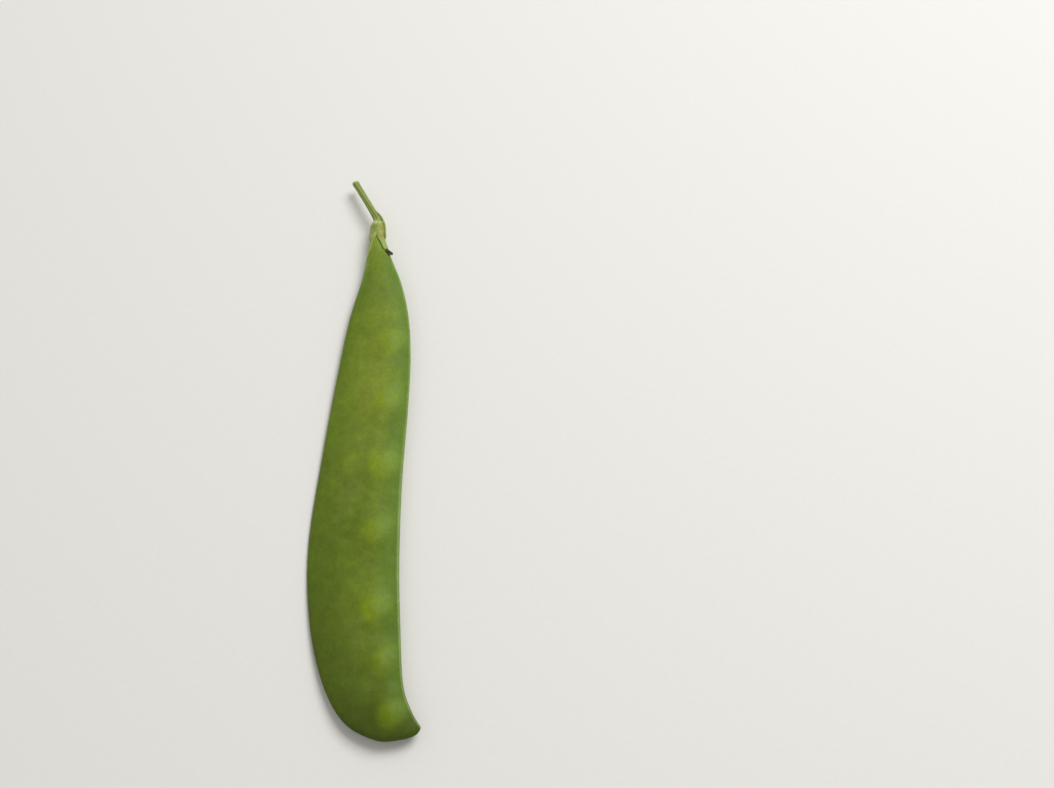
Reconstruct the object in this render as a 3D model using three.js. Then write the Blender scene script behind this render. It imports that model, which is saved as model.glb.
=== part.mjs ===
// Snow pea pod, as picked, lying on its side.
//
// The pod is one grown piece: two thin walls joined along a straight seed seam and a
// bowed back seam, flat between the seams, with seven small peas showing as low swellings
// beside the seed seam. Its neck sits in a small calyx cup with five sepals, on a cut stalk.
//
// Units are millimetres, +Z up. The pod runs along Y with its stalk at the +Y end, and the
// origin is under the middle of the whole object, on the surface that the pod rests on.

import * as THREE from 'three';

// ---- Driving dimensions ----

const WALL_HALF = 1.7; // half the pod's thickness between peas
const SEAM_HALF = 0.42; // half the thickness of a seam's rounded edge
const REST_HEIGHT = 2.24; // height of the pod's middle surface over its peas
const NECK_RISE = 1.1; // how far the neck lifts above that
const TIP_RISE = 0.5; // how far the beak lifts
const ROLL = 0.045; // slope of the middle surface, down towards the back seam
const ARCH = 0.0062; // droop of the middle surface each side of the peas, per mm
const PEA_LINE = 2.8; // where, across the pod, the middle surface is at its rest height

const CUP_LENGTH = 3.1;
const CUP_RIM_RADIUS = 1.8;
const CUP_BASE_RADIUS = 1.52;
const CUP_WALL = 0.24;
const CUP_FLATTENING = 0.94; // the cup is a little wider than it is tall
const CUP_BASE_Y = 0.62; // the cup's closed end, past the end of the pod's neck

const STALK_RADIUS = 0.68;
const RECEPTACLE_RADIUS = 1.12; // the stalk's swollen end, against the cup
const SEPAL_THICKNESS = 0.26;
const GAP = 0.1; // between pieces that touch

const POD_STATIONS = 84;
const POD_SIDES = 32;

// The two seams in plan, from the neck at (0, 0) to the beak. The peas hang from the seed seam.
const seedSeam = new THREE.SplineCurve([
  new THREE.Vector2(1.0, 0),
  new THREE.Vector2(1.75, -3.5),
  new THREE.Vector2(3.6, -9),
  new THREE.Vector2(5.9, -15),
  new THREE.Vector2(7.6, -22.5),
  new THREE.Vector2(8.4, -32),
  new THREE.Vector2(8.3, -44),
  new THREE.Vector2(7.7, -60),
  new THREE.Vector2(7.8, -77),
  new THREE.Vector2(8.6, -91),
  new THREE.Vector2(9.5, -101),
  new THREE.Vector2(11.2, -105.9),
  new THREE.Vector2(13.1, -109),
]);
const backSeam = new THREE.SplineCurve([
  new THREE.Vector2(-1.0, 0),
  new THREE.Vector2(-1.8, -5.5),
  new THREE.Vector2(-2.8, -13),
  new THREE.Vector2(-5.2, -23),
  new THREE.Vector2(-7.1, -36),
  new THREE.Vector2(-9.2, -54),
  new THREE.Vector2(-10.8, -73),
  new THREE.Vector2(-9.6, -88),
  new THREE.Vector2(-6.4, -100),
  new THREE.Vector2(-1.7, -108),
  new THREE.Vector2(4.6, -111.5),
  new THREE.Vector2(9.6, -111.4),
  new THREE.Vector2(12.3, -110.4),
  new THREE.Vector2(13.1, -109),
]);

// Each pea's place in plan, the reach of the swelling around it, and how far that stands out.
const peas = [
  { x: 3.9, y: -29.5, reach: 5.6, swell: 0.55 },
  { x: 3.3, y: -42.8, reach: 6.0, swell: 0.8 },
  { x: 3.4, y: -57.0, reach: 6.2, swell: 0.95 },
  { x: 3.2, y: -71.3, reach: 6.4, swell: 1.0 },
  { x: 3.8, y: -86.0, reach: 6.4, swell: 1.05 },
  { x: 5.6, y: -97.2, reach: 5.4, swell: 0.85 },
  { x: 7.5, y: -105.4, reach: 5.2, swell: 1.1 },
];

// ---- Shared shapes ----

// A closed body through a row of rings of points, with a single point closing each end. Each
// ring runs anticlockwise, seen from the end of the row.
function loft(rings, startPoint, endPoint) {
  const sides = rings[0].length;
  const points = [startPoint, ...rings.flat(), endPoint];
  const last = points.length - 1;
  const at = (ring, side) => 1 + ring * sides + (side % sides);
  const faces = [];
  for (let side = 0; side < sides; side++) {
    faces.push(0, at(0, side + 1), at(0, side));
    faces.push(last, at(rings.length - 1, side), at(rings.length - 1, side + 1));
  }
  for (let ring = 0; ring < rings.length - 1; ring++) {
    for (let side = 0; side < sides; side++) {
      faces.push(at(ring, side), at(ring, side + 1), at(ring + 1, side));
      faces.push(at(ring, side + 1), at(ring + 1, side + 1), at(ring + 1, side));
    }
  }
  const geometry = new THREE.BufferGeometry().setFromPoints(points);
  geometry.setIndex(faces);
  geometry.computeVertexNormals();
  return geometry;
}

// A round-sectioned or flattened body along a curve. halfWidth and halfDepth give the section
// at each share of the curve's length, and facing is the direction that the flat side looks.
function sweep(curve, stations, sides, facing, halfWidth, halfDepth) {
  const rings = [];
  for (let i = 0; i < stations; i++) {
    const share = (i + 0.5) / stations;
    const centre = curve.getPointAt(share);
    const along = curve.getTangentAt(share);
    const across = new THREE.Vector3().crossVectors(facing, along).normalize();
    const out = new THREE.Vector3().crossVectors(along, across);
    const ring = [];
    for (let side = 0; side < sides; side++) {
      const angle = (2 * Math.PI * side) / sides;
      ring.push(
        centre
          .clone()
          .addScaledVector(across, halfWidth(share) * Math.cos(angle))
          .addScaledVector(out, halfDepth(share) * Math.sin(angle)),
      );
    }
    rings.push(ring);
  }
  return loft(rings, curve.getPointAt(0), curve.getPointAt(1));
}

function material(colour, roughness) {
  return new THREE.MeshStandardMaterial({ color: colour, roughness, metalness: 0 });
}

function piece(name, geometry, look) {
  const mesh = new THREE.Mesh(geometry, look);
  mesh.name = name;
  return mesh;
}

const podGreen = material('#6e8434', 0.5);
const calyxGreen = material('#95a04f', 0.6);
const stalkGreen = material('#778838', 0.55);

// ---- Pod ----

// Height of the pod's middle surface, which the two walls stand either side of.
function middleHeight(x, y) {
  const share = Math.min(1, Math.max(0, y / seedSeam.getPoint(1).y));
  const lift = NECK_RISE * Math.pow(1 - share, 5) + TIP_RISE * Math.pow(share, 8);
  const across = x - PEA_LINE;
  return REST_HEIGHT + lift + ROLL * across - ARCH * across * across;
}

// How far the peas push each wall out at a place in plan.
function peaSwell(x, y) {
  let swell = 0;
  for (const pea of peas) {
    const near = 1 - ((x - pea.x) ** 2 + (y - pea.y) ** 2) / pea.reach ** 2;
    if (near > 0) swell += pea.swell * near * near;
  }
  return swell;
}

// Half the wall-to-wall thickness halfway between the seams: thin in the neck, thin at the beak.
function bellyHalf(share) {
  const neck = 1 - Math.exp(-share / 0.1);
  const beak = Math.sqrt(Math.max(0, 1 - share ** 9));
  return 0.95 + (WALL_HALF - 0.95) * neck * beak - 0.5 * (1 - beak);
}

function podPoint(share, angle) {
  const back = backSeam.getPointAt(share);
  const seed = seedSeam.getPointAt(share);
  const plan = back.lerp(seed, (1 + Math.cos(angle)) / 2);
  const fromSeam = Math.abs(Math.sin(angle));
  const belly = bellyHalf(share);
  const rim = Math.min(SEAM_HALF, belly) * Math.pow(fromSeam, 0.4);
  const wall = Math.max(0, belly - SEAM_HALF) * Math.pow(fromSeam, 1.5);
  const half = rim + wall + peaSwell(plan.x, plan.y) * Math.pow(fromSeam, 0.8);
  const height = middleHeight(plan.x, plan.y) + Math.sign(Math.sin(angle)) * half;
  // The underside is pressed flat where it rests.
  return new THREE.Vector3(plan.x, plan.y, Math.max(0, height));
}

function pod() {
  const rings = [];
  for (let i = 0; i < POD_STATIONS; i++) {
    const share = 0.994 * (i / (POD_STATIONS - 1));
    const ring = [];
    for (let side = 0; side < POD_SIDES; side++) {
      ring.push(podPoint(share, (2 * Math.PI * side) / POD_SIDES));
    }
    rings.push(ring);
  }
  const neckEnd = new THREE.Vector3(0, 0.12, middleHeight(0, 0));
  const beakPlan = seedSeam.getPoint(1);
  const beak = new THREE.Vector3(beakPlan.x, beakPlan.y, middleHeight(beakPlan.x, beakPlan.y));
  return piece('pod', loft(rings, neckEnd, beak), podGreen);
}

// ---- Calyx ----

const neckHeight = middleHeight(0, 0);

// The cup that holds the neck, open towards the pod.
function calyxCup() {
  const rim = CUP_BASE_Y - CUP_LENGTH;
  const profile = [
    [0, CUP_BASE_Y],
    [0.6 * CUP_BASE_RADIUS, CUP_BASE_Y],
    [0.92 * CUP_BASE_RADIUS, CUP_BASE_Y - 0.14],
    [CUP_BASE_RADIUS, CUP_BASE_Y - 0.42],
    [0.5 * (CUP_BASE_RADIUS + CUP_RIM_RADIUS), CUP_BASE_Y - 0.5 * CUP_LENGTH],
    [CUP_RIM_RADIUS, rim + 0.06],
    [CUP_RIM_RADIUS - 0.5 * CUP_WALL, rim],
    [CUP_RIM_RADIUS - CUP_WALL, rim + 0.06],
    [CUP_BASE_RADIUS - CUP_WALL, CUP_BASE_Y - 0.6],
    [0.8 * CUP_BASE_RADIUS - CUP_WALL, CUP_BASE_Y - CUP_WALL - 0.14],
    [0, CUP_BASE_Y - CUP_WALL],
  ].map(([radius, along]) => new THREE.Vector2(radius, along));
  const cup = piece('calyx_cup', new THREE.LatheGeometry(profile.reverse(), 28), calyxGreen);
  cup.scale.set(1, 1, CUP_FLATTENING);
  cup.position.z = neckHeight;
  return cup;
}

// Each sepal's course from the cup's rim to its tip, as (x, y, height over the neck's middle),
// the direction its flat side faces, and its half-width.
const sepals = {
  // Droops along the seed seam, with a shrivelled tip past the edge.
  sepal_drooping: {
    course: [
      [1.2, -2.3, 1.75],
      [1.5, -4.2, 1.6],
      [2.1, -6.0, 1.4],
      [3.6, -7.5, 0.7],
    ],
    facing: [0.5, 0, 1],
    halfWidth: 0.68,
  },
  // Curls back over the cup, with its tip on the stalk.
  sepal_curled: {
    course: [
      [2.0, -2.2, 0.5],
      [2.0, -0.6, 0.65],
      [1.3, 1.2, 0.9],
      [-0.2, 2.9, 1.05],
    ],
    facing: [1, 0.4, 0.7],
    halfWidth: 0.4,
  },
  // Lies along the back seam.
  sepal_side: {
    course: [
      [-1.65, -2.2, 1.0],
      [-1.62, -3.8, 1.02],
      [-1.85, -6.0, 0.98],
      [-2.15, -8.4, 0.92],
    ],
    facing: [-1, 0, 0.7],
    halfWidth: 0.5,
  },
  // The last two lie along the underside of the neck.
  sepal_under_seed: {
    course: [
      [0.95, -2.2, -1.8],
      [1.3, -3.9, -2.0],
      [1.9, -6.0, -2.15],
      [2.5, -8.2, -2.3],
    ],
    facing: [0.3, 0, -1],
    halfWidth: 0.9,
  },
  sepal_under_back: {
    course: [
      [-0.95, -2.2, -1.8],
      [-1.05, -4.0, -2.0],
      [-1.1, -6.2, -2.2],
      [-1.2, -8.0, -2.35],
    ],
    facing: [-0.3, 0, -1],
    halfWidth: 0.85,
  },
};

function sepal(name, { course, facing, halfWidth }) {
  const points = course.map(([x, y, over]) => new THREE.Vector3(x, y, neckHeight + over));
  const blade = sweep(
    new THREE.CatmullRomCurve3(points),
    14,
    10,
    new THREE.Vector3(...facing),
    (share) => halfWidth * Math.pow(Math.sin(Math.PI * (0.22 + 0.78 * share)), 0.8),
    (share) => 0.5 * SEPAL_THICKNESS * (1 - 0.4 * share),
  );
  return piece(name, blade, calyxGreen);
}

// ---- Stalk ----

// The flower stalk, from its swollen end against the cup to the cut.
function stalk() {
  const start = CUP_BASE_Y + GAP;
  const course = new THREE.CatmullRomCurve3([
    new THREE.Vector3(0, start, neckHeight),
    new THREE.Vector3(-0.1, start + 0.6, neckHeight + 0.05),
    new THREE.Vector3(-1.0, start + 2.2, neckHeight + 0.1),
    new THREE.Vector3(-2.8, start + 5.4, neckHeight),
    new THREE.Vector3(-5.6, start + 10.4, neckHeight - 0.4),
  ]);
  const radius = (share) => {
    const swollen = (RECEPTACLE_RADIUS - STALK_RADIUS) * Math.exp(-share / 0.08);
    const cut = 0.09 * Math.pow(share, 12);
    return STALK_RADIUS + swollen + cut;
  };
  const body = sweep(course, 30, 14, new THREE.Vector3(0, 0, 1), radius, radius);
  return piece('stalk', body, stalkGreen);
}

// ---- The whole object ----

const whole = new THREE.Group();
whole.add(pod(), calyxCup(), stalk());
for (const [name, shape] of Object.entries(sepals)) {
  whole.add(sepal(name, shape));
}

// The frame's origin is under the middle of the whole.
const box = new THREE.Box3().setFromObject(whole, true);
const middle = box.getCenter(new THREE.Vector3());
whole.position.set(-middle.x, -middle.y, -box.min.z);

export default whole;
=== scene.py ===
# Snow pea pod, freshly picked, lying on its side on a pale table.
#
# Everything is in metres in the object's own frame: +Y runs along the pod to its stalk, +X is
# the side of the seam that the peas hang from, and +Z is up. The pod's own sizes are written in
# millimetres in its plan, which has the end of the neck at (0, 0). The plan is moved into the
# frame by where the frame's pod lies.

import math

import bmesh
import bpy
import numpy as np
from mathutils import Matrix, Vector, noise
from mathutils.kdtree import KDTree


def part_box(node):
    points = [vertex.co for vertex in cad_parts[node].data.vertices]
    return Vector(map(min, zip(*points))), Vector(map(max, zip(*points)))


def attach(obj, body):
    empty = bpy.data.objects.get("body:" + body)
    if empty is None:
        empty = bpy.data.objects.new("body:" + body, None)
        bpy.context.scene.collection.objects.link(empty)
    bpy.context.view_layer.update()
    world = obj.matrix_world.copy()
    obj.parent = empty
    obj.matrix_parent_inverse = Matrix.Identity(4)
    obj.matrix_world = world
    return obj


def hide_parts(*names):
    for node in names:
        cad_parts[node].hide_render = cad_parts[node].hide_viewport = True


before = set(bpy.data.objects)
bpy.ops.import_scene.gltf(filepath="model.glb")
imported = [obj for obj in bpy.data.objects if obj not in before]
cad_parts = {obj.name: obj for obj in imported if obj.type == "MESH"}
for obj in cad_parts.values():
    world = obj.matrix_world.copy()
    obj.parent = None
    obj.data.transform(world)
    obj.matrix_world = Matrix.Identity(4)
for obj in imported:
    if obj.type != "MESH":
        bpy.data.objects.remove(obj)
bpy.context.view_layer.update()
scene = bpy.context.scene


# ---- Camera ----
# Looks down on the pod from its beak end, as someone standing over a table does. The pod lies
# to the left of the middle of the view, and a little below it.

CAMERA_ELEVATION = math.radians(66)
CAMERA_DISTANCE = 0.274
CAMERA_AIM = Vector((0.0318, 0.01068, 0.0))
SENSOR_WIDTH = 36.0
LENS = 44.4

lens = bpy.data.cameras.new("table_camera")
lens.sensor_width = SENSOR_WIDTH
lens.lens = LENS
lens.clip_start = 0.01
camera = bpy.data.objects.new("table_camera", lens)
camera.location = CAMERA_AIM + CAMERA_DISTANCE * Vector(
    (0, -math.cos(CAMERA_ELEVATION), math.sin(CAMERA_ELEVATION))
)
camera.rotation_euler = (math.pi / 2 - CAMERA_ELEVATION, 0, 0)
scene.collection.objects.link(camera)
scene.camera = camera


# ---- Pod ----
# The pod grew as one piece: two thin, crisp walls joined along a nearly straight seed seam and
# a bowed back seam. Seven small peas lift both walls beside the seed seam. The walls carry a
# fine net of veins that slopes back from the seed seam, under a thin coat of bluish wax.

MM = 0.001

WALL_HALF = 1.7  # half the thickness between peas
NECK_HALF = 0.95
SEAM_HALF = 0.42
REST_HEIGHT = 2.24  # of the pod's middle over the table
NECK_RISE = 1.1
TIP_RISE = 0.5
ROLL = 0.045  # the pod tips up this much for each mm towards its seed seam
ARCH = 0.0062  # and bows down to both seams, by this times the distance squared
PEA_LINE = 2.8  # x of the line that it tips and bows about

SEED_SEAM = [
    (1.0, 0), (1.75, -3.5), (3.6, -9), (5.9, -15), (7.6, -22.5), (8.4, -32),
    (8.3, -44), (7.7, -60), (7.8, -77), (8.6, -91), (9.5, -101), (11.2, -105.9),
    (13.1, -109),
]
BACK_SEAM = [
    (-1.0, 0), (-1.8, -5.5), (-2.8, -13), (-5.2, -23), (-7.1, -36), (-9.2, -54),
    (-10.8, -73), (-9.6, -88), (-6.4, -100), (-1.7, -108), (4.6, -111.5), (9.6, -111.4),
    (12.3, -110.4), (13.1, -109),
]
# Each pea: where it lies (x, y), how far its swelling reaches, how far that stands out, where
# the stretched wall is yellowest (x, y, from the pea's middle), and how strongly.
PEAS = [
    (3.9, -29.5, 5.6, 0.55, 0.1, 0.3, 0.95),
    (3.3, -42.8, 6.0, 0.8, 0.3, 0.1, 1.0),
    (3.4, -57.0, 6.2, 0.95, 0.0, -0.3, 1.0),
    (3.2, -71.3, 6.4, 1.0, -0.5, 0.2, 0.8),
    (3.8, -86.0, 6.4, 1.05, -0.8, -0.6, 1.0),
    (5.6, -97.2, 5.4, 0.85, -0.5, 0.2, 0.65),
    (7.5, -105.4, 5.2, 1.1, -0.5, -1.8, 0.8),
]
YELLOW_REACH = (2.5, 3.1)  # across and along the pod
# How far the painted highlight on each pea reaches, across and along the pod.
HIGHLIGHT_REACH = (2.3, 2.8)
HIGHLIGHT_OFFSET = (1.9, 1.1)  # from the middle of the yellow to the middle of the painted highlight on each pea's lamp side

POD_RINGS = 520
POD_SIDES = 176

WAVES = [(0.13, 9.0), (0.05, 3.2)]  # height and length of the waves in the thin walls
# Each seam's bead: its height, and the depth of the groove along its inner side.
SEAM_BEADS = {"from_seed": (0.06, 0.05), "from_back": (0.05, 0.03)}
BEAD_MIDDLE = 0.1
BEAD_WIDTH = 0.35
GROOVE_MIDDLE = 0.9
GROOVE_WIDTH = 0.4

VEIN_CELL_ALONG = 3.6
VEIN_CELL_ACROSS = 2.3
VEIN_SLOPE = 0.75  # how far along the pod a vein runs for each mm across
VEIN_WIDTH = 0.3
VEIN_HEIGHT = 0.008
VEIN_BEND = 0.45  # how far the net wanders, in cells
VEIN_SCATTER = 0.38  # how far the middle of a cell lies from an even grid, in cells


def curve_through(points):
    """A smooth curve through the points, as a function of the share of its length walked."""
    knots = np.array([points[0], *points, points[-1]], float)
    step = np.linspace(0, 1, 200, endpoint=False)[:, None]
    stretches = []
    for before, start, end, after in zip(knots, knots[1:], knots[2:], knots[3:]):
        leaving, arriving = (end - before) / 2, (after - start) / 2
        stretches.append(
            (2 * start - 2 * end + leaving + arriving) * step**3
            + (3 * end - 3 * start - 2 * leaving - arriving) * step**2
            + leaving * step
            + start
        )
    path = np.concatenate([*stretches, knots[-1:]])
    steps = np.linalg.norm(np.diff(path, axis=0), axis=1)
    walked = np.concatenate([[0], np.cumsum(steps)])
    return lambda share: np.stack(
        [np.interp(np.asarray(share) * walked[-1], walked, column) for column in path.T], -1
    )


def smooth_step(low, high, value):
    """0 up to low, 1 from high, and an even curve between."""
    t = np.clip((value - low) / (high - low), 0, 1)
    return t * t * (3 - 2 * t)


def ridge(value, middle, width):
    """1 at the middle, falling evenly to 0 on both sides."""
    return np.exp(-(((value - middle) / width) ** 2))


def lumps(points, size, seed):
    """Smooth random heights from about -1 to 1, in lumps of this size."""
    flat = points.reshape(-1, 3) / size + 37.0 * seed
    return np.array([noise.noise(p) for p in flat]).reshape(points.shape[:-1])


def middle_height(x, y):
    """Height of the surface halfway between the two walls."""
    share = np.clip(y / SEED_SEAM[-1][1], 0, 1)
    lift = NECK_RISE * (1 - share) ** 5 + TIP_RISE * share**8
    across = x - PEA_LINE
    return REST_HEIGHT + lift + ROLL * across - ARCH * across**2


def pea_closeness(x, y):
    """For each pea, 1 over it, falling to 0 at the reach of its swelling."""
    return [np.clip(1 - ((x - px) ** 2 + (y - py) ** 2) / reach**2, 0, 1) ** 2
            for px, py, reach, *_ in PEAS]


def patches(x, y, reach, offset=(0, 0)):
    """The peas' soft-edged patches of colour: 1 or less in the middle of each, 0 between."""
    shown = np.zeros(np.broadcast(x, y).shape)
    for px, py, _, _, yellow_x, yellow_y, strength in PEAS:
        off_x = (x - px - yellow_x - offset[0]) / reach[0]
        off_y = (y - py - yellow_y - offset[1]) / reach[1]
        shown += strength * np.exp(-((off_x**2 + off_y**2) ** 1.4))
    return shown


def closed_tube(name, rings, start, end):
    """A mesh through rings of points, in metres, closed by a point at each end."""
    count, sides = rings.shape[:2]
    points = np.concatenate([[start], rings.reshape(-1, 3), [end]])
    ring, side = np.meshgrid(np.arange(count - 1), np.arange(sides), indexing="ij")
    near, next_side = 1 + ring * sides, (side + 1) % sides
    quads = np.stack(
        [near + side, near + next_side, near + sides + next_side, near + sides + side], -1
    )
    last = 1 + (count - 1) * sides
    around = [(i, (i + 1) % sides) for i in range(sides)]
    caps = [(0, 1 + b, 1 + a) for a, b in around]
    caps += [(len(points) - 1, last + a, last + b) for a, b in around]
    mesh = bpy.data.meshes.new(name)
    mesh.from_pydata(points.tolist(), [], quads.reshape(-1, 4).tolist() + caps)
    mesh.shade_smooth()
    return mesh


def paint_guide(mesh, name, values):
    """Keeps one number for each point of the mesh, for its material to read."""
    guide = mesh.attributes.new(name, "FLOAT", "POINT")
    guide.data.foreach_set("value", np.asarray(values, np.float32))


def show(mesh, material, node_names):
    """Puts a finished mesh in the scene in place of the plain solids that it stands for, and
    returns the piece."""
    piece = bpy.data.objects.new(mesh.name, mesh)
    mesh.materials.append(material)
    scene.collection.objects.link(piece)
    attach(piece, "root")
    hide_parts(*node_names)
    return piece


def linear(hex_colour):
    """An sRGB hex colour as linear red, green, blue and alpha."""
    parts = [int(hex_colour[i : i + 2], 16) / 255 for i in (1, 3, 5)]
    return [*(c / 12.92 if c <= 0.04045 else ((c + 0.055) / 1.055) ** 2.4 for c in parts), 1]


def add(tree, kind, settings, links=None, out=None):
    """Adds a node with its settings and links. A socket goes by its name, or by its identifier
    where two share a name. Returns the output named, or else the first."""
    made = tree.nodes.new(kind)

    def socket(key):
        return next(s for s in made.inputs if s.enabled and key in (s.name, s.identifier))

    for key, value in settings.items():
        if hasattr(made, key):
            setattr(made, key, value)
        else:
            socket(key).default_value = value
    for key, source in (links or {}).items():
        tree.links.new(source, socket(key))
    return next((s for s in made.outputs if s.enabled and out in (None, s.name)), None)


def in_frame(points):
    """Points of the plan, in millimetres, as metres in the frame."""
    return (np.asarray(points) + pod_place) * MM


def pod_points():
    """The pod's walls in plan millimetres, with the numbers that place each point on them."""
    share = np.linspace(0, 0.996, POD_RINGS)[:, None]
    angle = (2 * np.pi * np.arange(POD_SIDES) / POD_SIDES)[None, :]
    seed = curve_through(SEED_SEAM)(share)
    back = curve_through(BACK_SEAM)(share)
    from_back = ((1 + np.cos(angle)) / 2)[..., None]
    plan = back + (seed - back) * from_back
    x, y = plan[..., 0], plan[..., 1]
    off_seam = np.abs(np.sin(angle))
    neck = 1 - np.exp(-share / 0.1)
    beak = np.sqrt(np.clip(1 - share**9, 0, 1))
    belly = NECK_HALF + (WALL_HALF - NECK_HALF) * neck * beak - 0.5 * (1 - beak)
    swell = sum(pea[3] * close for pea, close in zip(PEAS, pea_closeness(x, y)))
    half = (
        np.minimum(SEAM_HALF, belly) * off_seam**0.4
        + np.maximum(0, belly - SEAM_HALF) * off_seam**1.5
        + swell * off_seam**0.8
    )
    side = np.sign(np.round(np.sin(angle), 9))
    points = np.stack([x, y, middle_height(x, y) + side * half], -1)
    width = np.linalg.norm(seed - back, axis=-1)
    guides = {
        "along": -y,
        "across": np.broadcast_to(from_back[..., 0], x.shape),
        "from_seed": width * (1 - np.cos(angle)) / 2,
        "from_back": width * (1 + np.cos(angle)) / 2,
        "pea_yellow": patches(x, y, YELLOW_REACH),
        # Where the painted highlight lies on the lamp side of each pea.
        "pea_highlight": patches(x, y, HIGHLIGHT_REACH, HIGHLIGHT_OFFSET),
    }
    return points, guides, side


def vein_net(guides, side):
    """1 on a vein and 0 between veins: the borders of long cells that slope from the seam."""
    rng = np.random.default_rng(7)
    from_seed = guides["from_seed"]
    along = guides["along"] + VEIN_SLOPE * from_seed
    across = np.where(side >= 0, from_seed, -from_seed)
    u = along / VEIN_CELL_ALONG
    v = across / VEIN_CELL_ACROSS
    bend = np.stack([u * 0.5, v * 0.5, np.zeros_like(u)], -1)
    u = u + VEIN_BEND * lumps(bend, 1.0, 3)
    v = v + VEIN_BEND * lumps(bend, 1.0, 5)
    low = np.floor([u.min(), v.min()]).astype(int) - 1
    high = np.ceil([u.max(), v.max()]).astype(int) + 1
    cells = [(i + 0.5, j + 0.5) for i in range(low[0], high[0]) for j in range(low[1], high[1])]
    centres = np.array(cells) + rng.uniform(-VEIN_SCATTER, VEIN_SCATTER, (len(cells), 2))
    tree = KDTree(len(centres))
    for i, (cu, cv) in enumerate(centres):
        tree.insert((cu, cv, 0), i)
    tree.balance()
    near = [tree.find_n((a, b, 0), 2) for a, b in zip(u.ravel(), v.ravel())]
    border = np.array([second[2] - first[2] for first, second in near]).reshape(u.shape)
    return ridge(border, 0, 2 * VEIN_WIDTH / VEIN_CELL_ACROSS)


def pod_mesh():
    """The pod's skin, with its waves, seams and veins as real relief."""
    points, guides, side = pod_points()
    seam = np.minimum(guides["from_seed"], guides["from_back"])
    guides["vein"] = (
        vein_net(guides, side) * smooth_step(0.6, 2.2, seam) * smooth_step(2, 9, guides["along"])
    )
    wave = sum(height * lumps(points, length, 1 + i) for i, (height, length) in enumerate(WAVES))
    detail = wave * smooth_step(0.5, 4, seam) + VEIN_HEIGHT * guides["vein"]
    for name, (bead, groove) in SEAM_BEADS.items():
        detail += bead * ridge(guides[name], BEAD_MIDDLE, BEAD_WIDTH)
        detail -= groove * ridge(guides[name], GROOVE_MIDDLE, GROOVE_WIDTH)
    down_pod = np.gradient(points, axis=0)
    round_pod = (np.roll(points, -1, axis=1) - np.roll(points, 1, axis=1)) / 2
    outward = np.cross(down_pod, round_pod)
    outward /= np.maximum(np.linalg.norm(outward, axis=-1, keepdims=True), 1e-9)
    points = points + outward * detail[..., None]
    points[..., 2] = np.maximum(points[..., 2], 0)  # pressed flat where it rests
    neck_end = (0, 0.12, middle_height(0, 0))
    beak_end = (*SEED_SEAM[-1], middle_height(*SEED_SEAM[-1]))
    mesh = closed_tube("pea_pod", *(in_frame(part) for part in (points, neck_end, beak_end)))
    for name, values in guides.items():
        paint_guide(mesh, name, [values[0].mean(), *values.ravel(), values[-1].mean()])
    return mesh


def lay_colours(tree, first_colour, layers, guides):
    """Lays colours over the first one. Each is (colour, strength, places), and a place is a
    guide's name, the value where the layer starts to show, and the value where it is full."""
    colour = None
    for hex_colour, strength, places in layers:
        amount = None
        for name, none, full in places:
            shows = add(tree, "ShaderNodeMapRange", {
                "interpolation_type": "SMOOTHSTEP", "From Min": none, "From Max": full,
                "To Max": 1.0 if amount else strength,
            }, {"Value": guides[name]})
            if amount:
                shows = add(tree, "ShaderNodeMath", {"operation": "MULTIPLY"},
                            {"Value": amount, "Value_001": shows})
            amount = shows
        under = {"A": colour} if colour else {}
        colour = add(tree, "ShaderNodeMix", {
            "data_type": "RGBA", "A": linear(first_colour), "B": linear(hex_colour),
        }, {"Factor": amount, **under})
    return colour


def start_material(name, painted, patterns):
    """A new material, its tree, the object's own coordinates in millimetres, and the guides that
    its colours are laid by: the numbers painted on the mesh, and its random patterns."""
    material = bpy.data.materials.new(name)
    material.use_nodes = True
    tree = material.node_tree
    tree.nodes.clear()
    place = add(tree, "ShaderNodeTexCoord", {}, out="Object")
    mm = add(tree, "ShaderNodeVectorMath", {"operation": "SCALE", "Scale": 1 / MM},
             {"Vector": place})
    guides = {}
    for guide in painted:
        guides[guide] = add(tree, "ShaderNodeAttribute", {"attribute_name": guide}, out="Fac")
    for guide, (size, detail) in patterns.items():
        guides[guide] = add(tree, "ShaderNodeTexNoise", {"Scale": 1 / size, "Detail": detail},
                            {"Vector": mm})
    return material, tree, mm, guides


# How wide each random pattern's patches are, in millimetres, and how finely it is broken up.
# Real pores are a few hundredths of a millimetre across, and are drawn several times coarser.
SKIN_PATTERNS = {
    "cloud": (11.0, 3.0), "patch": (7.0, 4.0), "blotch": (3.2, 4.0), "mottle": (1.4, 4.0),
    "stipple": (0.8, 2.0), "grain": (0.45, 3.0), "pore": (0.16, 2.0),
}
SKIN_SPECKS = 2.2  # mm between specks
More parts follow.
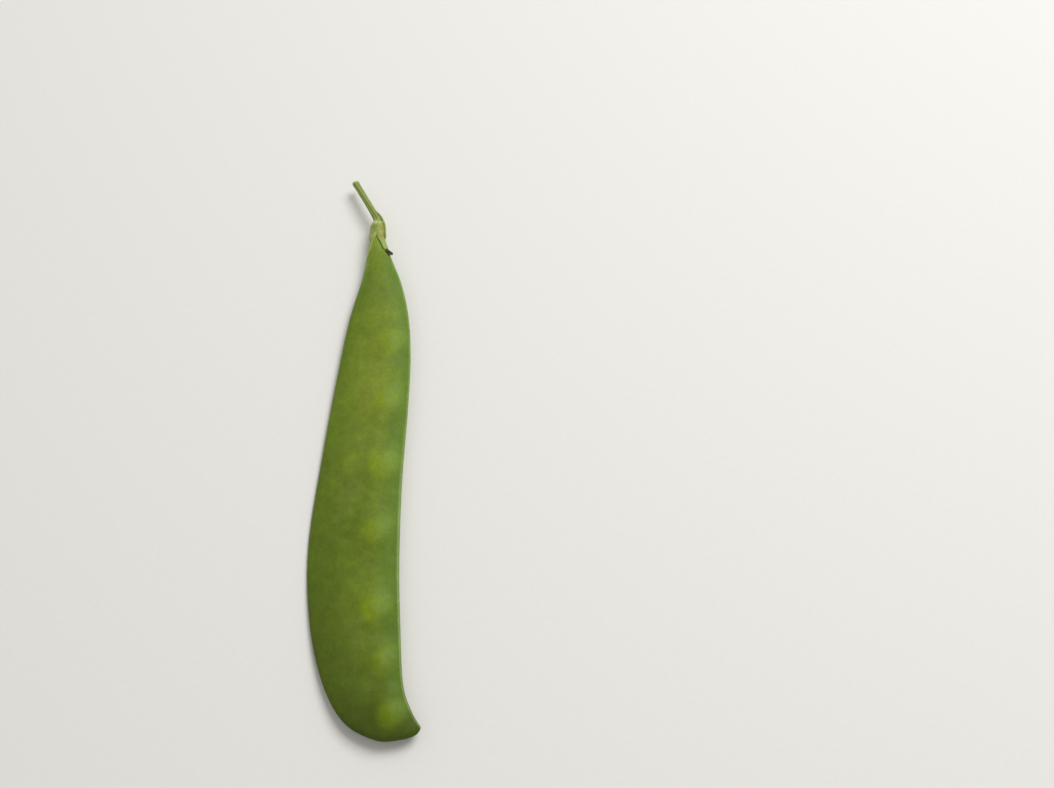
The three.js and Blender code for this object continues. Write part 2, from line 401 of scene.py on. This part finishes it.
# How much lighter and darker the flesh is in each pattern's patches.
SKIN_DEPTHS = {"blotch": 0.12, "mottle": 0.06, "stipple": 0.05, "grain": 0.06, "pore": 0.1}
SKIN_GREEN = "#657a1c"
SKIN_COLOURS = [  # laid over the green in this order
    ("#778b27", 0.9, [("cloud", 0.38, 0.62)]),
    # Lighter towards the neck, and darker from the middle down: partly the pod's own colour and
    # partly painted shade for light falling off down the pod.
    ("#778c2a", 0.55, [("along", 45, 15)]),
    ("#5a6f10", 0.55, [("along", 47, 70)]),
    ("#7c892a", 0.4, [("across", 0.2, 0.5), ("across", 0.9, 0.65), ("along", 70, 45)]),
    ("#6f7130", 0.16, [("patch", 0.5, 0.66), ("across", 0.85, 0.6)]),
    ("#7c8744", 0.24, [("patch", 0.52, 0.34), ("across", 0.75, 0.5), ("along", 32, 48)]),
    # Darker olive towards the back seam: partly the pod's own colour and partly painted shade.
    ("#63791b", 0.8, [("across", 0.45, 0.05)]),
    ("#83a035", 0.08, [("vein", 0, 1)]),
    # Darker still in the lower back-seam half and towards the beak: painted shade over the pod's
    # own darker colour.
    ("#48570e", 0.58, [("along", 42, 100), ("across", 0.62, 0.12)]),
    ("#4c5e0e", 0.4, [("along", 84, 100)]),
    ("#5b7a18", 0.5, [("from_seed", 6.0, 3.0), ("pea_yellow", 0.5, 0.1), ("along", 20, 30)]),
    ("#5b7a14", 0.7, [("from_seed", 3.2, 1.0)]),
    ("#506a0c", 0.5, [("from_seed", 6, 1.5), ("along", 55, 95)]),
    # The beak end near dark olive: painted shade over the pod's own darker colour.
    ("#3f4c0c", 0.75, [("along", 100, 111)]),
    ("#7a8f04", 0.62, [("pea_yellow", 0.1, 0.95)]),
    # Painted highlight on the lamp side of each pea.
    ("#789434", 0.42, [("pea_highlight", 0.1, 0.95)]),
    ("#5c7a26", 0.35, [("along", 8, 13), ("along", 26, 16)]),
    ("#93a63e", 0.75, [("along", 9.5, 3.5)]),
    # Pale strip along the back seam by the neck: partly painted highlight where the seam's edge
    # catches the light.
    ("#8ea54a", 0.6, [("from_back", 1.4, 0.6), ("along", 20, 8)]),
    # Thin pale lines just inside both seams: painted highlights where the seam beads catch the
    # light.
    ("#a9b880", 0.35, [("from_seed", 0.8, 0.5), ("from_seed", 0.15, 0.35), ("along", 40, 70)]),
    ("#97a873", 0.45, [("from_seed", 0.6, 0.15), ("along", 108, 92)]),
    ("#8b9f52", 0.4, [("from_back", 0.6, 0.15), ("along", 90, 40)]),
    ("#4a5a1c", 0.4, [("speck", 0.12, 0.07), ("speck_kind", 0.25, 0.2)]),
    ("#c2cf96", 0.55, [("speck", 0.1, 0.06), ("speck_kind", 0.9, 0.92), ("across", 0.45, 0.6)]),
]


def pod_skin():
    """Living pod skin: green flesh under thin wax. It looks soft green, yellower over the peas,
    bluer beside the seed seam, mottled, and satin where light grazes it. Painted highlights lie
    on the lamp side of each pea and along both seams, and painted shade darkens the back-seam
    half, the lower pod and the beak end, over the pod's own darker colour there."""
    painted = ("along", "across", "from_seed", "from_back", "pea_yellow", "pea_highlight", "vein")
    skin, tree, mm, guides = start_material("waxy_pod_skin", painted, SKIN_PATTERNS)
    guides["speck"] = add(tree, "ShaderNodeTexVoronoi", {"Scale": 1 / SKIN_SPECKS}, {"Vector": mm})
    guides["speck_kind"] = add(tree, "ShaderNodeSeparateColor", {},
                               {"Color": guides["speck"].node.outputs["Color"]})
    green = lay_colours(tree, SKIN_GREEN, SKIN_COLOURS, guides)
    depth = None
    for name, spread in SKIN_DEPTHS.items():
        uneven = add(tree, "ShaderNodeMapRange", {
            "From Min": 0.25, "From Max": 0.75, "To Min": 1 - spread, "To Max": 1 + spread,
        }, {"Value": guides[name]})
        if depth:
            uneven = add(tree, "ShaderNodeMath", {"operation": "MULTIPLY"},
                         {"Value": depth, "Value_001": uneven})
        depth = uneven
    green = add(tree, "ShaderNodeHueSaturation", {}, {"Color": green, "Value": depth})
    rough = add(tree, "ShaderNodeMapRange", {
        "From Min": 0.35, "From Max": 0.7, "To Min": 0.5, "To Max": 0.64,
    }, {"Value": guides["mottle"]})
    bump = add(tree, "ShaderNodeBump", {"Strength": 0.25, "Distance": 0.00006},
               {"Height": guides["grain"]})
    shader = add(tree, "ShaderNodeBsdfPrincipled", {
        "IOR": 1.45, "Specular IOR Level": 0.25, "Subsurface Weight": 0.1,
        "Subsurface Scale": 0.001, "Subsurface Radius": (0.5, 0.9, 0.2),
    }, {"Base Color": green, "Roughness": rough, "Normal": bump})
    add(tree, "ShaderNodeOutputMaterial", {}, {"Surface": shader})
    return skin


pod_low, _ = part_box("pod")
plan_low = pod_points()[0].reshape(-1, 3).min(0)
pod_place = np.array([pod_low.x / MM - plan_low[0], pod_low.y / MM - plan_low[1], 0.0])
show(pod_mesh(), pod_skin(), ["pod"])


# ---- Calyx ----
# A thin, pale green leafy cup that holds the neck of the pod, and the five sepals that it
# splits into. It grew as one leaf-thin wall, so it is one mesh: the sepals run on from its rim.

LEAF_THICKNESS = 0.22
CUP_PROFILE = [  # radius, and place along the pod
    (0.0, 0.6), (0.68, 0.62), (1.0, 0.54), (1.28, 0.3), (1.46, -0.15), (1.57, -0.8),
    (1.63, -1.6), (1.69, -2.5), (1.75, -3.2),
]
CUP_FLARE = 0.05  # how much wider the cup would get for each mm past its rim
CUP_BASE_FLATNESS = 0.94  # the cup is nearly round at the stalk, and flatter at its rim
CUP_RIM_FLATNESS = 0.72
CUP_RIB = (0.05, 0.2)  # height and width of the low rib that runs up into each sepal
CUP_CREASE = (0.06, 0.16)  # depth and width of the crease between two sepals
SEPAL_RIB = (0.05, 0.15)
SEPAL_HOLLOW = 0.3  # how far a sepal's edges bend in, as a share of its half-width
SEPAL_LEAVING = 0.42  # share of its length over which a sepal comes away from the cup's curve
CRUMPLE_DEPTH = 0.45
CRUMPLE_LENGTH = 0.5
CUP_RINGS = 26
SEPAL_RINGS = 36
SEPAL_COLUMNS = 15

# Each sepal: the stretch of the rim that it grows from, in degrees round from the seed-seam
# side, its half-width, and its course past the rim as (x, y, height over the neck's middle).
# "turn" is how far, in degrees, it turns over. The dry end's entry gives the shares of its length
# at which it starts to be dry and is dry right through; there it crumples, and its colour goes
# near black, partly its own dry colour and partly painted shadow.
SEPALS = {
    "sepal_drooping": {
        "rim": (12, 88), "half_width": 0.6, "dry_and_shaded": (0.64, 0.82),
        "course": [(1.35, -4.1, 1.25), (1.7, -5.3, 1.2), (2.25, -6.6, 1.0), (3.4, -7.6, 0.55)],
    },
    "sepal_side": {
        "rim": (88, 200), "half_width": 0.42,
        "course": [(-1.2, -4.6, 0.72), (-1.5, -6.4, 0.62), (-1.9, -8.4, 0.42)],
    },
    "sepal_under_back": {
        "rim": (200, 262), "half_width": 0.85,
        "course": [(-1.05, -4.3, -1.5), (-1.1, -6.2, -1.7), (-1.2, -8.0, -1.85)],
    },
    "sepal_under_seed": {
        "rim": (262, 322), "half_width": 0.9,
        "course": [(1.3, -4.2, -1.5), (1.9, -6.0, -1.7), (2.5, -8.2, -1.85)],
    },
    "sepal_curled": {
        "rim": (322, 372), "half_width": 0.33, "leaving": 0.14, "turn": 55,
        "course": [(1.9, -3.7, 0.1), (2.0, -3.2, 0.35), (1.94, -1.8, 0.62), (1.66, -0.1, 0.82),
                   (0.78, 1.6, 1.0), (-0.12, 2.6, 1.1)],
    },
}


def cup_rows(angle, side):
    """The part of the cup's wall that grows into one sepal, from the stalk down to the rim."""
    profile = curve_through(CUP_PROFILE)(np.linspace(0, 1, CUP_RINGS))
    radius, along = profile[:, :1], profile[:, 1:]
    flattened = smooth_step(0.5, -3.0, along)
    flatness = CUP_BASE_FLATNESS + (CUP_RIM_FLATNESS - CUP_BASE_FLATNESS) * flattened
    rib = CUP_RIB[0] * ridge(side, 0, CUP_RIB[1])
    crease = CUP_CREASE[0] * ridge(np.abs(side), 1, CUP_CREASE[1])
    radius = radius + (rib - crease) * smooth_step(0.4, 1.4, radius)
    height = flatness * radius * np.sin(angle) + middle_height(0, 0)
    return np.stack([radius * np.cos(angle), np.broadcast_to(along, radius.shape), height], -1)


def past_rim(angle, reach):
    """A row of points where the cup would run on to, this far past its rim."""
    rim_radius, rim_y = CUP_PROFILE[-1]
    radius = rim_radius + CUP_FLARE * reach
    height = CUP_RIM_FLATNESS * radius * np.sin(angle) + middle_height(0, 0)
    return np.stack([radius * np.cos(angle), np.full_like(angle, rim_y - reach), height], -1)


def sepal_rows(sepal, cup, middle_angle, half_arc, side, grown, dried_and_shaded):
    """One sepal, from the rim to its tip. It runs straight on from the cup at first, and then
    follows its own course, with its edges bent in and any withered end crumpled."""
    neck = middle_height(0, 0)
    half_width = sepal["half_width"]
    leaving = sepal.get("leaving", SEPAL_LEAVING)
    course = [(x, y, above + neck) for x, y, above in sepal["course"]]
    centre = curve_through([cup[-1, SEPAL_COLUMNS // 2], *course])(grown)
    length = np.linalg.norm(np.diff(centre, axis=0), axis=1).sum()
    heading = np.gradient(centre, axis=0)
    heading /= np.linalg.norm(heading, axis=1, keepdims=True)
    across = cup[-1, -1] - cup[-1, 0]
    rows = []
    for share, spot, ahead, dry_and_shaded in zip(grown, centre, heading, dried_and_shaded):
        across = across - across.dot(ahead) * ahead
        across = across / np.linalg.norm(across)
        outward = np.cross(across, ahead)
        left_cup = smooth_step(0, leaving, share)
        turned = math.radians(sepal.get("turn", 0)) * left_cup
        facing = outward * math.cos(turned) - across * math.sin(turned)
        sideways = across * math.cos(turned) + outward * math.sin(turned)
        width = half_width * math.sin(math.pi * (0.22 + 0.78 * share)) ** 0.8
        width = max(width, 0.8 * half_width * dry_and_shaded)
        bend = SEPAL_RIB[0] * ridge(side, 0, SEPAL_RIB[1]) - SEPAL_HOLLOW * width * side**2
        row = spot + width * side[:, None] * sideways + bend[:, None] * facing
        straight = past_rim(middle_angle + (1 - 0.2 * share) * half_arc * side, share * length)
        row = straight + (row - straight) * left_cup
        crumple = np.stack([lumps(row, CRUMPLE_LENGTH, 20 + axis) for axis in range(3)], -1)
        rows.append(row + CRUMPLE_DEPTH * dry_and_shaded * crumple)
    return np.array(rows)


def calyx_mesh():
    """The outer face of the cup and its sepals as one sheet, which a modifier thickens."""
    side = np.linspace(-1, 1, SEPAL_COLUMNS)
    grown = np.linspace(0, 1, SEPAL_RINGS + 1)[1:]
    points, faces = [], []
    guides = {"sepal": [], "dry_and_shaded": []}
    for sepal in SEPALS.values():
        low, high = np.radians(sepal["rim"])
        middle_angle, half_arc = (low + high) / 2, (high - low) / 2
        dried_and_shaded = smooth_step(*sepal["dry_and_shaded"], grown) if "dry_and_shaded" in sepal else np.zeros(SEPAL_RINGS)
        cup = cup_rows(middle_angle + half_arc * side, side)
        blade = sepal_rows(sepal, cup, middle_angle, half_arc, side, grown, dried_and_shaded)
        first = len(points)
        points += [*cup.reshape(-1, 3), *blade.reshape(-1, 3)]
        for row in range(CUP_RINGS + SEPAL_RINGS - 1):
            for column in range(SEPAL_COLUMNS - 1):
                corner = first + row * SEPAL_COLUMNS + column
                below = corner + SEPAL_COLUMNS
                faces.append((corner, below, below + 1, corner + 1))
        up_sepal = [*np.linspace(-1, 0, CUP_RINGS), *grown]  # -1 to 0 on the cup, 1 at the tip
        guides["sepal"] += np.repeat(up_sepal, SEPAL_COLUMNS).tolist()
        guides["dry_and_shaded"] += np.repeat([*np.zeros(CUP_RINGS), *dried_and_shaded], SEPAL_COLUMNS).tolist()
    mesh = bpy.data.meshes.new("calyx_leaf")
    mesh.from_pydata(in_frame(points).tolist(), [], faces)
    for name, values in guides.items():
        paint_guide(mesh, name, values)
    sheet = bmesh.new()
    sheet.from_mesh(mesh)
    bmesh.ops.remove_doubles(sheet, verts=sheet.verts, dist=1e-6)
    bmesh.ops.recalc_face_normals(sheet, faces=sheet.faces)
    sheet.to_mesh(mesh)
    sheet.free()
    mesh.shade_smooth()
    return mesh


# The second pattern only places the painted highlight flecks on the cup's shoulder.
LEAF_PATTERNS = {"cloud": (1.1, 3.0), "shoulder_glint": (0.5, 2.0)}
STREAK_WIDTH = 0.3
STREAK_STRETCH = 0.16  # a streak's width as a share of its length
LEAF_GREEN = "#8a9745"
LEAF_COLOURS = [
    ("#9ca955", 0.7, [("streak", 0.35, 0.65)]),
    ("#a39a4e", 0.7, [("to_seed", -0.4, 0.6), ("sepal", -0.7, -0.4), ("sepal", 0.5, 0.1)]),
    ("#7f8c3a", 0.55, [("cloud", 0.4, 0.6)]),
    ("#a9b866", 0.5, [("cloud", 0.5, 0.35)]),
    ("#9fb35a", 0.6, [("sepal", 0.05, 0.4)]),
    # Paler band and flecks on the shoulder, where the cup bends over to the stalk: painted
    # highlight over the cup's own pale rim.
    ("#c3cc88", 0.55, [("sepal", -0.45, -0.6), ("streak", 0.3, 0.6)]),
    ("#d6dca6", 0.7, [("sepal", -0.5, -0.7), ("shoulder_glint", 0.52, 0.64)]),
    # A withered tip goes near black: its own dry brown-black, darkened further as painted shadow.
    ("#22260f", 0.96, [("dry_and_shaded", 0.0, 0.8)]),
]


def calyx_leaf():
    """Thin leaf gone pale: yellow-green, streaked along its length, matte and a little
    see-through. It is palest where it bends over to the stalk, with a painted highlight band and
    flecks laid there, and brown-black at a withered tip, darkened further with painted shadow."""
    leaf, tree, mm, guides = start_material("pale_calyx_leaf", ("sepal", "dry_and_shaded"), LEAF_PATTERNS)
    stretched = add(tree, "ShaderNodeMapping", {"Scale": (1, STREAK_STRETCH, 1)}, {"Vector": mm})
    guides["streak"] = add(tree, "ShaderNodeTexNoise", {"Scale": 1 / STREAK_WIDTH, "Detail": 3.0},
                           {"Vector": stretched})
    from_middle = add(tree, "ShaderNodeVectorMath", {
        "operation": "SUBTRACT", "Vector_001": (pod_place[0], 0, 0),
    }, {"Vector": mm})
    guides["to_seed"] = add(tree, "ShaderNodeSeparateXYZ", {}, {"Vector": from_middle})
    green = lay_colours(tree, LEAF_GREEN, LEAF_COLOURS, guides)
    bump = add(tree, "ShaderNodeBump", {"Strength": 0.5, "Distance": 0.00008},
               {"Height": guides["streak"]})
    shader = add(tree, "ShaderNodeBsdfPrincipled", {
        "IOR": 1.42, "Roughness": 0.6, "Subsurface Weight": 0.2, "Subsurface Scale": 0.0006,
        "Subsurface Radius": (0.6, 0.9, 0.2),
    }, {"Base Color": green, "Normal": bump})
    add(tree, "ShaderNodeOutputMaterial", {}, {"Surface": shader})
    return leaf


calyx = show(calyx_mesh(), calyx_leaf(), ["calyx_cup", *SEPALS])
wall = calyx.modifiers.new("leaf_thickness", "SOLIDIFY")
wall.thickness = LEAF_THICKNESS * MM
wall.offset = -1
round_off = calyx.modifiers.new("soft_edges", "SUBSURF")
round_off.levels = round_off.render_levels = 1


# ---- Stalk ----
# The flower stalk: a thin, tough green stem with ridges along it, swollen where it meets the
# calyx and cut across at its far end, where its pale fibrous inside shows.

STALK_RADIUS = 0.68
STALK_SWOLLEN_RADIUS = 1.12
STALK_SWELLING = 0.11  # share of its length over which the swelling falls away
STALK_CUT_SPREAD = 0.1  # how much wider it gets at the cut end
STALK_TWIST = 0.5  # how far the ridges wind round it over its length, in radians
STALK_COURSE = [
    (0, 0.5, 0), (-0.1, 1.3, 0.05), (-1.0, 2.9, 0.1), (-2.8, 6.1, 0), (-5.6, 11.1, -0.4),
]
STALK_RIDGES = 7
STALK_RIDGE_DEPTH = 0.07  # as a share of the radius
STALK_OUT_OF_ROUND = 0.025
STALK_LUMP_HEIGHT = 0.03
STALK_LUMP_LENGTH = 0.8
STALK_RINGS = 120
STALK_SIDES = 56
# The cut face: a raised rim of fibre round a slightly sunken middle, as share of the radius
# and height over the cut.
CUT_FACE = [(0.97, 0.05), (0.86, 0.06), (0.7, -0.02), (0.45, -0.1), (0.2, -0.14)]


def stalk_mesh():
    """The stalk's skin along its bent course, closed by the cut face."""
    share = np.linspace(0, 1, STALK_RINGS)
    centre = curve_through(STALK_COURSE)(share) + (0, 0, middle_height(0, 0))
    heading = np.gradient(centre, axis=0)
    heading /= np.linalg.norm(heading, axis=1, keepdims=True)
    across = np.cross((0, 0, 1), heading)
    across /= np.linalg.norm(across, axis=1, keepdims=True)
    upward = np.cross(heading, across)
    angle = 2 * np.pi * np.arange(STALK_SIDES) / STALK_SIDES
    swollen = np.exp(-share / STALK_SWELLING)
    radius = STALK_RADIUS + (STALK_SWOLLEN_RADIUS - STALK_RADIUS) * swollen
    radius = (radius + STALK_CUT_SPREAD * share**14)[:, None]
    turn = angle[None, :] + STALK_TWIST * share[:, None]
    ridges = np.cos(STALK_RIDGES * turn)
    out_of_round = STALK_OUT_OF_ROUND * np.cos(3 * turn + 1)
    radius = radius * (1 + STALK_RIDGE_DEPTH * ridges + out_of_round)
    ring = (
        centre[:, None]
        + (radius * np.cos(angle))[..., None] * across[:, None]
        + (radius * np.sin(angle))[..., None] * upward[:, None]
    )
    uneven = np.stack([lumps(ring, STALK_LUMP_LENGTH, 30 + axis) for axis in range(3)], -1)
    ring += STALK_LUMP_HEIGHT * uneven
    end, ahead = centre[-1], heading[-1]
    face = [end + (ring[-1] - end) * spread + ahead * height for spread, height in CUT_FACE]
    middle = end + ahead * CUT_FACE[-1][1]
    rings = np.concatenate([ring, face])
    mesh = closed_tube("cut_stalk", *(in_frame(part) for part in (rings, centre[0], middle)))
    guides = {
        "ridge": np.concatenate([ridges, np.repeat(ridges[-1:], len(face), axis=0)]).ravel(),
        "cut": np.repeat([*smooth_step(0.955, 1.0, share), *np.ones(len(face))], STALK_SIDES),
        "swollen": np.repeat([*swollen, *np.zeros(len(face))], STALK_SIDES),
    }
    for name, values in guides.items():
        paint_guide(mesh, name, [values[0], *values, values[-1]])
    return mesh


# The second pattern is both the fine fibrous bumps and the mask of the painted highlight flecks.
RIND_PATTERNS = {"cloud": (0.9, 4.0), "fibre_and_glints": (0.16, 2.0)}
RIND_GREEN = "#74863a"
RIND_COLOURS = [
    ("#96a654", 0.9, [("ridge", -0.8, 0.9)]),
    ("#77862f", 0.45, [("cloud", 0.4, 0.65)]),
    # Pale flecks on the swollen base: painted highlights.
    ("#c9d08c", 0.5, [("swollen", 0.2, 0.8), ("fibre_and_glints", 0.45, 0.6)]),
    ("#d3dcb0", 0.9, [("cut", 0.0, 1.0)]),
]


def stalk_rind():
    """Green stem rind: paler along its ridges and darker in the grooves, with a dull sheen,
    painted highlight flecks on its swollen base, and a dry, whitish, fibrous end where it was cut."""
    painted = ("ridge", "cut", "swollen")
    rind, tree, _, guides = start_material("ridged_stalk_rind", painted, RIND_PATTERNS)
    green = lay_colours(tree, RIND_GREEN, RIND_COLOURS, guides)
    bump = add(tree, "ShaderNodeBump", {"Strength": 0.4, "Distance": 0.00008},
               {"Height": guides["fibre_and_glints"]})
    shader = add(tree, "ShaderNodeBsdfPrincipled", {
        "IOR": 1.45, "Roughness": 0.55, "Subsurface Weight": 0.1, "Subsurface Scale": 0.0006,
        "Subsurface Radius": (0.6, 0.9, 0.2),
    }, {"Base Color": green, "Normal": bump})
    add(tree, "ShaderNodeOutputMaterial", {}, {"Surface": shader})
    return rind


show(stalk_mesh(), stalk_rind(), ["stalk"])


# ---- Table and light ----
# A plain pale table top under soft studio light: a broad lamp above the seed-seam side, and
# pale walls all round that fill the shadows.

TABLE_HALF = 3.0
SPECKS_PER_METRE = 900.0

table_mesh = bpy.data.meshes.new("table_top")
corners = [(-1, -1), (1, -1), (1, 1), (-1, 1)]
table_mesh.from_pydata([(TABLE_HALF * x, TABLE_HALF * y, 0) for x, y in corners], [],
                       [(0, 1, 2, 3)])
table_top = bpy.data.objects.new("table_top", table_mesh)
# Pale, matte laminate, very faintly speckled.
laminate = bpy.data.materials.new("pale_laminate")
laminate.use_nodes = True
tree = laminate.node_tree
tree.nodes.clear()
place = add(tree, "ShaderNodeTexCoord", {}, out="Object")
speckle = add(tree, "ShaderNodeTexNoise", {"Scale": SPECKS_PER_METRE, "Detail": 2.0},
              {"Vector": place})
colour = add(tree, "ShaderNodeMix", {
    "data_type": "RGBA", "A": linear("#e9e7e2"), "B": linear("#edebe7"),
}, {"Factor": speckle})
surface = add(tree, "ShaderNodeBsdfPrincipled", {"Roughness": 0.7}, {"Base Color": colour})
add(tree, "ShaderNodeOutputMaterial", {}, {"Surface": surface})
table_mesh.materials.append(laminate)
scene.collection.objects.link(table_top)

KEY_PLACE = (0.38, 0.4, 0.7)
KEY_SIZE = 0.5
KEY_WATTS = 5.5
ROOM_STRENGTH = 0.5

key_light = bpy.data.lights.new("key_lamp", "AREA")
key_light.size = KEY_SIZE
key_light.energy = KEY_WATTS
key_lamp = bpy.data.objects.new("key_lamp", key_light)
key_lamp.location = KEY_PLACE
key_lamp.rotation_euler = (-Vector(KEY_PLACE)).to_track_quat("-Z", "Y").to_euler()
scene.collection.objects.link(key_lamp)

room = bpy.data.worlds.new("pale_room")
room.use_nodes = True
walls = room.node_tree.nodes["Background"]
walls.inputs["Color"].default_value = linear("#f2f2f0")
walls.inputs["Strength"].default_value = ROOM_STRENGTH
scene.world = room
scene.view_settings.view_transform = "Standard"
